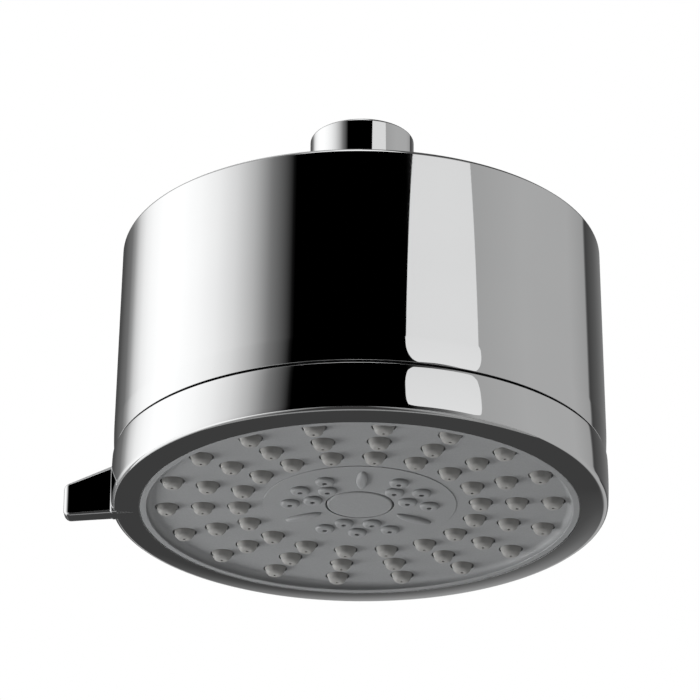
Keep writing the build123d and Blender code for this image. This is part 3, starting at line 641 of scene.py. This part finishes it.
bpy.ops.object.select_all(action="DESELECT")
bpy.ops.mesh.primitive_cylinder_add(
    vertices=48, radius=hole_radius, depth=10 * MM, location=(-nozzle_circles[0], 0, face_height)
)
hole_cutter = bpy.context.object
bpy.ops.object.transform_apply(location=True, rotation=True, scale=True)
cut(face_plate, copies_inwards(hole_cutter))
finish_piece(face_plate, "grey_plastic", "spray_face", "face_plate")

# %% [markdown]
# ## Nozzle mat
# The nozzles are soft, so that lime can be rubbed off with a thumb. All of them stand on one rubber
# sheet behind the plate. One nozzle is turned about its own axis, with a tapered flank that runs into
# a well rounded tip, and a jet hole so fine that it shows only as a dot. It is then copied, with the
# helper that copied the holes, so that each nozzle stands in the middle of its hole.

# %% Nozzle mat
mat_inside = 23.5 * MM
mat_outside = pocket_radius - 0.3 * MM
mat_back = plate_high.z
nozzle_mat = turned_piece(
    "nozzle_mat_rubber",
    [(mat_inside, face_back), (mat_outside, face_back), (mat_outside, mat_back), (mat_inside, mat_back)],
)
nozzle_tip = 1.72 * MM
tip_round = 0.85 * MM
nozzle_shoulder = face_height + 0.3 * MM
shoulder_round = 0.25 * MM
nozzle_root = face_back + 0.5 * MM
nozzle_end = rim_height
jet_radius = 0.3 * MM
jet_round = 0.06 * MM
nozzle = turned_piece(
    "nozzle",
    [
        (jet_radius, nozzle_root),
        (nozzle_base, nozzle_root),
        (nozzle_base, nozzle_shoulder, shoulder_round),
        (nozzle_tip, nozzle_end, tip_round),
        (jet_radius, nozzle_end, jet_round),
    ],
    centre=(-nozzle_circles[0], 0.0),
    steps=36,
)
join(nozzle_mat, [copies_inwards(nozzle)])
finish_piece(nozzle_mat, "nozzle_rubber", "spray_face", "nozzle_mat", edge=50.0)

# %% [markdown]
# ## Centre spray disc
# The disc in the middle is a separate moulding. It stands proud of the plate by a hair, and its rounded
# edge catches the light on one side. A flange behind keeps it from falling out. All of that is one
# outline, so the disc is turned too.

# %% Centre spray disc
disc_low, disc_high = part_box("centre_spray_disc")
disc_height = face_height - 0.15 * MM
cap_radius = 7.25 * MM
cap_gap = 0.35 * MM
cap_hole = cap_radius + cap_gap
disc_round = 0.1 * MM
disc_flange = disc_radius + 1.8 * MM
flange_inside = disc_radius - 1.8 * MM
centre_spray_disc = turned_piece(
    "centre_spray_disc_grey",
    [
        (cap_hole, disc_height, disc_round),
        (disc_radius, disc_height, disc_round),
        (disc_radius, face_back),
        (disc_flange, face_back),
        (disc_flange, disc_high.z),
        (flange_inside, disc_high.z),
        (flange_inside, face_back),
        (cap_hole, face_back),
    ],
)
print("disc radius in mm:", round(disc_radius / MM, 2))

# %% [markdown]
# Each of the three clusters has five low bosses, like buttons, with a jet hole in each. One boss is
# turned at each of the five places of a cluster, and Spin copies it to the other two clusters. The hole
# is a step in the boss's own outline, which saves fifteen Booleans.

# %% Jet bosses
boss_radius = 2.15 * MM
boss_top = boss_radius - 0.3 * MM
boss_top_round = 0.5 * MM
boss_shoulder = disc_height - 0.3 * MM
boss_shoulder_round = 0.15 * MM
boss_jet = 0.55 * MM
boss_jet_round = 0.12 * MM
jet_floor = disc_height + 0.2 * MM
boss_root = disc_height + 0.4 * MM
inner_arc = 10.75 * MM
outer_arc = inner_arc + 4.65 * MM
inner_spread = radians(17.0)
outer_spread = radians(28.3)
CLUSTERS = 3
cluster_turn = radians(95.2)
cluster = [(outer_arc, cluster_turn + k * outer_spread) for k in (-1, 0, 1)]
cluster += [(inner_arc, cluster_turn + k * inner_spread) for k in (-1, 1)]
bosses = []
for arc, turn in cluster:
    boss = turned_piece(
        "jet_boss",
        [
            (boss_radius, boss_root),
            (boss_radius, boss_shoulder, boss_shoulder_round),
            (boss_top, disc_low.z, boss_top_round),
            (boss_jet, disc_low.z, boss_jet_round),
            (boss_jet, jet_floor),
            (0.0, jet_floor),
            (0.0, boss_root),
        ],
        centre=(arc * cos(turn), arc * sin(turn)),
        steps=36,
    )
    bosses.append(copies_round(boss, CLUSTERS, 2 * pi / CLUSTERS))
print("bosses:", len(bosses) * CLUSTERS)

# %% [markdown]
# Between each two clusters lies a raised pad, long and rounded like a grain of rice. It starts as a
# filled circle, stretched to an ellipse at its place. Extruding it a little at a time, and shrinking
# each new layer, gives the dome. A scaled sphere would do as well, but half of it would be wasted.

# %% Raised pads
pad_half_length = 4.5 * MM
pad_half_width = 1.3 * MM
pad_rise = 0.8 * MM
pad_place = 14.2 * MM
pad_turn = cluster_turn - pi / CLUSTERS
pad_middle = Vector((pad_place * cos(pad_turn), pad_place * sin(pad_turn), disc_height))
bpy.ops.object.select_all(action="DESELECT")
bpy.ops.mesh.primitive_circle_add(
    vertices=48, radius=1.0, fill_type="NGON", location=pad_middle, rotation=(0, 0, pad_turn)
)
pads = bpy.context.object
pads.scale = (pad_half_length, pad_half_width, 1.0)
bpy.ops.object.transform_apply(location=True, rotation=True, scale=True)
bpy.ops.object.mode_set(mode="EDIT")
bpy.ops.mesh.select_all(action="SELECT")
dome = [radians(a) for a in range(0, 90, 12)]
for here, there in zip(dome, dome[1:]):
    layer = (0, 0, pad_rise * (sin(here) - sin(there)))
    bpy.ops.mesh.extrude_region_move(TRANSFORM_OT_translate={"value": layer})
    shrink = sqrt(cos(there) / cos(here))
    bpy.ops.transform.resize(value=(shrink, shrink, 1.0), center_override=pad_middle)
close_openings()
bpy.ops.object.mode_set(mode="OBJECT")
copies_round(pads, CLUSTERS, 2 * pi / CLUSTERS)
join(centre_spray_disc, [*bosses, pads])
finish_piece(centre_spray_disc, "grey_plastic", "spray_face", "centre_spray_disc")

# %% [markdown]
# ## Centre cap
# A plain plug hides the screw that holds the turning face. Its edge is well rounded, so the narrow
# dark gap round it is easy to see. A cylinder with an inset would do for its front, but it is a hollow
# cup behind, and one outline gives both.

# %% Centre cap
cap_low, cap_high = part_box("centre_cap")
cap_round = 0.4 * MM
cap_skirt = 6.2 * MM
cap_wall = 0.8 * MM
cap_inside = cap_low.z + 1.2 * MM
centre_cap = turned_piece(
    "centre_cap_grey",
    [
        (0.0, cap_low.z),
        (cap_radius, cap_low.z, cap_round),
        (cap_radius, face_back),
        (cap_skirt, face_back),
        (cap_skirt, cap_high.z),
        (cap_skirt - cap_wall, cap_high.z),
        (cap_skirt - cap_wall, cap_inside),
        (0.0, cap_inside),
    ],
    steps=96,
)
finish_piece(centre_cap, "grey_plastic", "spray_face", "centre_cap")

# %% [markdown]
# ## Inlet connector
# Collar, neck and ball are one turned piece of plated brass. The ball is an arc of the outline, from
# the neck round to the water way. The steps inside the collar hold the washer, the filter and the
# flow restrictor. A sphere joined to a cylinder would look the same, but the water way would be shut.

# %% Collar, neck and ball
collar_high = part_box("inlet_connector")[1]
ball_height = frame["joints"][0]["pos_m"][2]
ball_radius = 10.0 * MM
neck_radius = 5.5 * MM
water_radius = 3.9 * MM
collar_radius = collar_high.x
collar_round = 0.6 * MM
mouth_round = 0.5 * MM
neck_round = 1.5 * MM
ball_round = 0.4 * MM
thread_radius = frame["record"]["mounts"][0]["dims"]["r_mm"] * MM
thread_depth = frame["record"]["mounts"][0]["dims"]["length_mm"] * MM
relief_radius = thread_radius + 0.4 * MM
mouth = collar_high.z
thread_foot = mouth - thread_depth
washer_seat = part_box("inlet_washer")[0].z
restrictor_low, restrictor_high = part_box("flow_restrictor")
restrictor_pocket = restrictor_high.x + 0.05 * MM
collar_foot = washer_seat - 2.8 * MM
neck_rise = sqrt(ball_radius**2 - neck_radius**2)
outlet_drop = sqrt(ball_radius**2 - water_radius**2)
ball_arc = [
    (ball_radius * cos(radians(a)), ball_height + ball_radius * sin(radians(a))) for a in range(54, -66, -6)
]
inlet_connector = turned_piece(
    "inlet_connector_plated",
    [
        (water_radius, restrictor_low.z),
        (restrictor_pocket, restrictor_low.z),
        (restrictor_pocket, washer_seat),
        (relief_radius, washer_seat),
        (relief_radius, thread_foot),
        (thread_radius, thread_foot),
        (thread_radius, mouth, mouth_round),
        (collar_radius, mouth, collar_round),
        (collar_radius, collar_foot, collar_round),
        (neck_radius, collar_foot, neck_round),
        (neck_radius, ball_height + neck_rise, ball_round),
        *ball_arc,
        (water_radius, ball_height - outlet_drop),
    ],
    steps=128,
)
print("collar radius in mm:", round(collar_radius / MM, 2))

# %% [markdown]
# A pipe thread winds up inside the collar, fourteen turns to the inch. Its ridge is drawn once, and the
# Screw modifier carries it round and up. Spin could climb as well, but the modifier takes the pitch as a
# plain number. The two open ends are filled, so that the ridge is closed.

# %% Inlet thread
thread_pitch = 1.814 * MM
thread_turns = 5
ridge_depth = 1.1 * MM
ridge_foot = thread_radius + 0.1 * MM
ridge_middle = thread_foot + 0.7 * thread_pitch
ridge_half_foot = 0.42 * thread_pitch
ridge_half_crest = 0.08 * thread_pitch
thread = draw_outline(
    "inlet_thread_ridge",
    [
        (ridge_foot, ridge_middle - ridge_half_foot),
        (thread_radius - ridge_depth, ridge_middle - ridge_half_crest),
        (thread_radius - ridge_depth, ridge_middle + ridge_half_crest),
        (ridge_foot, ridge_middle + ridge_half_foot),
    ],
)
bpy.ops.object.mode_set(mode="OBJECT")
winding = thread.modifiers.new("winding", "SCREW")
winding.axis = "Z"
winding.screw_offset = thread_pitch
winding.iterations = thread_turns
winding.steps = winding.render_steps = 72
bpy.ops.object.modifier_apply(modifier=winding.name)
bpy.ops.object.mode_set(mode="EDIT")
bpy.ops.mesh.select_all(action="SELECT")
bpy.ops.mesh.remove_doubles(threshold=SAME_PLACE)
bpy.ops.mesh.select_all(action="DESELECT")
bpy.ops.mesh.select_non_manifold()
bpy.ops.mesh.fill()
bpy.ops.mesh.select_all(action="SELECT")
bpy.ops.mesh.normals_make_consistent(inside=False)
bpy.ops.object.mode_set(mode="OBJECT")
join(inlet_connector, [thread])
finish_piece(inlet_connector, "plated", "inlet", "inlet_connector")

# %% [markdown]
# ## Ball nut
# The nut clamps the shell on the socket and presses the friction ring on the ball. It is turned, and
# twelve finger flutes are cut into its rim with one Boolean, from a cylinder copied round the axis. They
# could be part of the outline of an extruded shape, but then its top edge could not be rounded so simply.

# %% Ball nut
nut_low, nut_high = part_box("ball_nut")
FLUTES = 12
nut_radius = 18.0 * MM
nut_bore = 15.05 * MM
nut_seat = 12.05 * MM
seat_rise = 5.0 * MM
nut_ceiling = ball_height + seat_rise
mouth_rise = 6.3 * MM
nut_mouth = sqrt(nut_seat**2 - mouth_rise**2)
mouth_flare = 0.7 * MM
flare_round = 0.3 * MM
ball_nut = turned_piece(
    "ball_nut_plated",
    [
        (nut_mouth, ball_height + mouth_rise),
        (nut_mouth + mouth_flare, nut_high.z, flare_round),
        (nut_radius, nut_high.z, top_round),
        (nut_radius, nut_low.z),
        (nut_bore, nut_low.z),
        (nut_bore, nut_ceiling),
        (sqrt(nut_seat**2 - seat_rise**2), nut_ceiling),
    ],
)
flute_radius = 1.5 * MM
bpy.ops.object.select_all(action="DESELECT")
bpy.ops.mesh.primitive_cylinder_add(
    vertices=32, radius=flute_radius, depth=30 * MM, location=(nut_radius + 0.6 * flute_radius, 0, nut_high.z)
)
flute_cutter = bpy.context.object
bpy.ops.object.transform_apply(location=True, rotation=True, scale=True)
copies_round(flute_cutter, FLUTES, 2 * pi / FLUTES)
cut(ball_nut, flute_cutter)
finish_piece(ball_nut, "plated", "head", "ball_nut")

# %% [markdown]
# ## Camera
# The camera looks up from below, as the photograph does. Its place, its three angles and its lens were
# found by fitting the circles of the object to the picture. The long lens keeps the drum's sides
# almost upright. The angles are turned into three axes, which are the columns of its matrix.

# %% Camera
camera_place = Vector((0.050513, -0.890450, -0.466231))
camera_yaw = radians(-3.402)
camera_pitch = radians(24.876)
camera_roll = radians(0.442)
ahead = Vector((sin(camera_yaw) * cos(camera_pitch), cos(camera_yaw) * cos(camera_pitch), sin(camera_pitch)))
level_right = Vector((cos(camera_yaw), -sin(camera_yaw), 0.0))
level_up = level_right.cross(ahead)
right = level_right * cos(camera_roll) + level_up * sin(camera_roll)
up = level_up * cos(camera_roll) - level_right * sin(camera_roll)
camera_data = bpy.data.cameras.new("photo_camera")
camera_data.sensor_width = 36.0
camera_data.lens = 225.117
camera = bpy.data.objects.new("photo_camera", camera_data)
camera.matrix_world = Matrix((right, up, -ahead)).transposed().to_4x4()
camera.location = camera_place
bpy.context.scene.collection.objects.link(camera)
bpy.context.scene.camera = camera
bpy.context.scene.view_settings.view_transform = "Standard"
print("camera distance:", round(camera_place.length, 3))

# %% [markdown]
# ## Studio wall and roof
# Plated metal only shows what stands round it. So the studio is a round wall with painted bands: black
# in front, mid grey to the right, white to the left and dark behind. The flat roof is white above the
# black band and darker elsewhere, which draws the fine line along the drum's top edge. Separate cards
# could stand there instead, but a radial gradient turned into a colour ramp paints soft and hard edges
# alike. Only mirror rays see the paint, so it throws no light on the matt pieces.


# %% Glowing paint
def glowing_paint(name):
    """Material that glows with the colour of its ramp, and the ramp."""
    material = bpy.data.materials.new(name)
    material.use_nodes = True
    nodes, links = material.node_tree.nodes, material.node_tree.links
    nodes.remove(nodes["Principled BSDF"])
    ramp = nodes.new("ShaderNodeValToRGB")
    glow = nodes.new("ShaderNodeEmission")
    links.new(ramp.outputs["Color"], glow.inputs["Color"])
    links.new(glow.outputs["Emission"], nodes["Material Output"].inputs["Surface"])
    return material, ramp


def set_stops(ramp, stops):
    """Gives a colour ramp its (place, grey level) stops."""
    first, last = ramp.color_ramp.elements[0], ramp.color_ramp.elements[1]
    for stop, (place, level) in ((first, stops[0]), (last, stops[-1])):
        stop.position = place
        stop.color = (level, level, level, 1.0)
    for place, level in stops[1:-1]:
        ramp.color_ramp.elements.new(place).color = (level, level, level, 1.0)


# %% Paint in bands
camera_bearing = radians(86.8)


def banded_paint(name, bands, strength):
    """Glowing paint in bands, given as degrees to the right of the camera and a grey level."""
    material, ramp = glowing_paint(name)
    nodes, links = material.node_tree.nodes, material.node_tree.links
    nodes["Emission"].inputs["Strength"].default_value = strength
    around = nodes.new("ShaderNodeTexCoord")
    bearing = nodes.new("ShaderNodeMapping")
    bearing.inputs["Rotation"].default_value = (0.0, 0.0, camera_bearing)
    sweep = nodes.new("ShaderNodeTexGradient")
    sweep.gradient_type = "RADIAL"
    links.new(around.outputs["Object"], bearing.inputs["Vector"])
    links.new(bearing.outputs["Vector"], sweep.inputs["Vector"])
    links.new(sweep.outputs["Fac"], ramp.inputs["Fac"])
    set_stops(ramp, [((angle + 180) / 360, level) for angle, level in bands])
    return material


def mirror_only(card, material):
    """Gives a studio card its paint, seen by mirror rays and nothing else."""
    card.data.materials.clear()
    card.data.materials.append(material)
    card.visible_camera = False
    card.visible_diffuse = False
    card.visible_transmission = False
    card.visible_shadow = False


# %% Wall and roof
WALL_BANDS = (
    (-180, 0.05), (-160, 0.07), (-145, 0.15), (-139, 0.30), (-133, 0.60), (-126, 0.82), (-119, 0.93),
    (-110, 1.0), (-95, 1.0), (-83, 0.93), (-72, 0.82), (-62, 0.66), (-52, 0.43), (-43, 0.17),
    (-36, 0.065), (-32, 0.0), (22, 0.0), (38, 0.10), (52, 0.33), (82, 0.375), (116, 0.37),
    (133.5, 0.30), (135.5, 0.045), (148, 0.09), (180, 0.25),
)
ROOF_BANDS = (
    (-180, 0.4), (-100, 0.5), (-70, 0.35), (-50, 0.06), (-40, 0.06), (-33, 1.0), (22, 1.0),
    (26, 0.12), (60, 0.04), (180, 0.1),
)
wall_radius = 3.0
wall_thickness = 0.05
wall_foot = -0.62
wall_head = 3.0
studio_wall = turned_piece(
    "studio_wall",
    [
        (wall_radius, wall_foot),
        (wall_radius, wall_head),
        (wall_radius + wall_thickness, wall_head),
        (wall_radius + wall_thickness, wall_foot),
    ],
)
mirror_only(studio_wall, banded_paint("studio_wall_bands", WALL_BANDS, strength=1.09))
bpy.ops.object.select_all(action="DESELECT")
bpy.ops.mesh.primitive_circle_add(
    vertices=96, radius=wall_radius, fill_type="NGON", location=(0, 0, wall_head)
)
studio_roof = bpy.context.object
studio_roof.name = "studio_roof"
bpy.ops.object.transform_apply(location=True)
mirror_only(studio_roof, banded_paint("studio_roof_bands", ROOF_BANDS, strength=1.0))
print("wall bands:", len(WALL_BANDS), "roof bands:", len(ROOF_BANDS))

# %% [markdown]
# The pale patch on the drum is the mirror image of a softbox: a box with a lamp and a white cloth in
# front. Its corners are round, and the slow curves of the drum's foot and of the ring show them. It
# is a plane that stands upright in front of the wall, with its four corners bevelled as vertices. The
# cloth is brighter at its foot. Its shade comes from a colour ramp that runs in one direction, which a
# dot product with the place on the card measures. The cards below use the same paint.


# %% Softbox
def fading_paint(name, direction, start, end, stops):
    """Glowing paint that changes along a direction, between two distances from the origin."""
    material, ramp = glowing_paint(name)
    set_stops(ramp, stops)
    nodes, links = material.node_tree.nodes, material.node_tree.links
    place = nodes.new("ShaderNodeTexCoord")
    along = nodes.new("ShaderNodeVectorMath")
    along.operation = "DOT_PRODUCT"
    along.inputs[1].default_value = direction
    fade = nodes.new("ShaderNodeMapRange")
    fade.inputs["From Min"].default_value = start
    fade.inputs["From Max"].default_value = end
    links.new(place.outputs["Object"], along.inputs[0])
    links.new(along.outputs["Value"], fade.inputs["Value"])
    links.new(fade.outputs["Result"], ramp.inputs["Fac"])
    return material


softbox_bearing = camera_bearing - radians(38.4)
softbox_distance = 2.75
softbox_low, softbox_high = 0.79, 1.57
softbox_half_width = 0.90
softbox_round = 0.33
bpy.ops.object.select_all(action="DESELECT")
bpy.ops.mesh.primitive_plane_add(
    size=2.0,
    location=(
        softbox_distance * cos(softbox_bearing),
        -softbox_distance * sin(softbox_bearing),
        (softbox_low + softbox_high) / 2,
    ),
    rotation=(pi / 2, 0, pi / 2 - softbox_bearing),
)
softbox = bpy.context.object
softbox.name = "softbox"
softbox.scale = (softbox_half_width, (softbox_high - softbox_low) / 2, 1.0)
bpy.ops.object.transform_apply(location=True, rotation=True, scale=True)
bpy.ops.object.mode_set(mode="EDIT")
bpy.ops.mesh.select_all(action="SELECT")
bpy.ops.mesh.bevel(offset=softbox_round, segments=12, affect="VERTICES")
bpy.ops.object.mode_set(mode="OBJECT")
cloth_shades = [(0.0, 0.78), (1.0, 0.72)]
mirror_only(softbox, fading_paint("softbox_cloth", (0.0, 0.0, 1.0), softbox_low, softbox_high, cloth_shades))
print("softbox corners:", len(softbox.data.vertices))

# %% [markdown]
# ## Floor and cards
# The floor is plain pale paper, far below the object, so it only gives soft light from below. The
# flat underside of the ring mirrors what lies low behind the object. There a dark ramp rises to the
# wall and turns paler towards it, which is why the ring's far edge fades. On the left a low white
# card fills the rounded lower edge with light, and in front a black one carries the black band of
# the wall on. All of them are planes, because a mirror only shows their shade and their edges.

# %% Floor
floor_drop = 1.75
floor_height = cad_box[0].z - floor_drop
bpy.ops.object.select_all(action="DESELECT")
bpy.ops.mesh.primitive_plane_add(size=40.0, location=(0, 0, floor_height))
floor = bpy.context.object
floor.name = "studio_floor"
bpy.ops.object.transform_apply(location=True)
floor_paper = moulded_finish("floor_paper", (0.76, 0.76, 0.76), (0.80, 0.80, 0.80), (0.7, 0.8), grain=400.0)
floor.data.materials.append(floor_paper)
print("floor at", round(floor_height, 3))


# %% Low cards
card_height = -0.64


def low_card(name, left, right, front, back):
    """Level card below the object, between four edges."""
    bpy.ops.object.select_all(action="DESELECT")
    bpy.ops.mesh.primitive_plane_add(size=1.0, location=((left + right) / 2, (front + back) / 2, card_height))
    card = bpy.context.object
    card.name = name
    card.scale = (right - left, back - front, 1.0)
    bpy.ops.object.transform_apply(location=True, scale=True)
    return card


ramp_back = 2.95
ramp_top = 0.0
dark_ramp = low_card("dark_ramp", left=-0.55, right=2.9, front=0.0, back=ramp_back)
bpy.ops.object.mode_set(mode="EDIT")
pick(dark_ramp, lambda place: place.y > ramp_back - 0.1)
bpy.ops.transform.translate(value=(0, 0, ramp_top - card_height))
bpy.ops.object.mode_set(mode="OBJECT")
ramp_shades = [(0.08, 0.047), (0.13, 0.07), (0.175, 0.11), (0.26, 0.21), (0.36, 0.36), (1.0, 0.40)]
mirror_only(dark_ramp, fading_paint("dark_ramp_shades", (0.5, 1.0, 0.0), 0.8, 1.6, ramp_shades))
white_card = low_card("white_card", left=-2.9, right=-0.7, front=-1.6, back=0.8)
white_shades = [(0.0, 0.5), (0.4, 0.9), (1.0, 1.0)]
mirror_only(white_card, fading_paint("white_card_shades", (-1.0, 0.0, 0.0), 0.7, 1.5, white_shades))
black_card = low_card("black_card", left=-0.6, right=0.6, front=-2.9, back=-0.25)
black_shades = [(0.0, 0.35), (0.25, 0.04), (0.68, 0.04), (1.0, 0.45)]
mirror_only(black_card, fading_paint("black_card_shades", (1.0, 0.0, 0.0), -0.6, 0.6, black_shades))
print("cards at", round(card_height, 3))

# %% [markdown]
# ## World and lamps
# The world is plain white for the camera and for mirrors, and a plain soft light for everything else.
# Light Path tells the two apart. One lamp stands low on the left, a little behind. It grazes the face,
# so that each nozzle has a bright and a shaded side. A larger one below lights the tips of the nozzles
# more than their flanks. Both are hidden from mirror rays, because they are brighter than white and
# would leave ragged sparks on the plating.

# %% World
world = bpy.data.worlds.new("studio_world")
bpy.context.scene.world = world
world.use_nodes = True
world_nodes, world_links = world.node_tree.nodes, world.node_tree.links
rays = world_nodes.new("ShaderNodeLightPath")
camera_or_glossy = world_nodes.new("ShaderNodeMath")
or_transmission = world_nodes.new("ShaderNodeMath")
or_transmission.use_clamp = True
level = world_nodes.new("ShaderNodeMapRange")
ambient_level = 0.30
level.inputs["To Min"].default_value = ambient_level
level.inputs["To Max"].default_value = 1.0
background = world_nodes["Background"]
background.inputs["Color"].default_value = (1.0, 1.0, 1.0, 1.0)
world_links.new(rays.outputs["Is Camera Ray"], camera_or_glossy.inputs[0])
world_links.new(rays.outputs["Is Glossy Ray"], camera_or_glossy.inputs[1])
world_links.new(camera_or_glossy.outputs["Value"], or_transmission.inputs[0])
world_links.new(rays.outputs["Is Transmission Ray"], or_transmission.inputs[1])
world_links.new(or_transmission.outputs["Value"], level.inputs["Value"])
world_links.new(level.outputs["Result"], background.inputs["Strength"])
print("ambient level:", ambient_level)

# %% Lamps
face_middle = Vector((0.0, 0.0, face_height))


def soft_lamp(name, place, size, energy):
    """Round lamp that points at the face, and that neither the camera nor a mirror sees."""
    lamp_data = bpy.data.lights.new(name, "AREA")
    lamp_data.shape = "DISK"
    lamp_data.size = size
    lamp_data.energy = energy
    lamp = bpy.data.objects.new(name, lamp_data)
    lamp.location = place
    lamp.rotation_euler = (face_middle - Vector(place)).to_track_quat("-Z", "Y").to_euler()
    lamp.visible_camera = False
    lamp.visible_glossy = False
    bpy.context.scene.collection.objects.link(lamp)
    print(name, "distance:", round((lamp.location - face_middle).length, 3))


soft_lamp("left_lamp", (-0.51, 0.15, -0.32), size=0.3, energy=4.15)
soft_lamp("under_lamp", (0.1, 0.1, -1.5), size=1.0, energy=7.8)
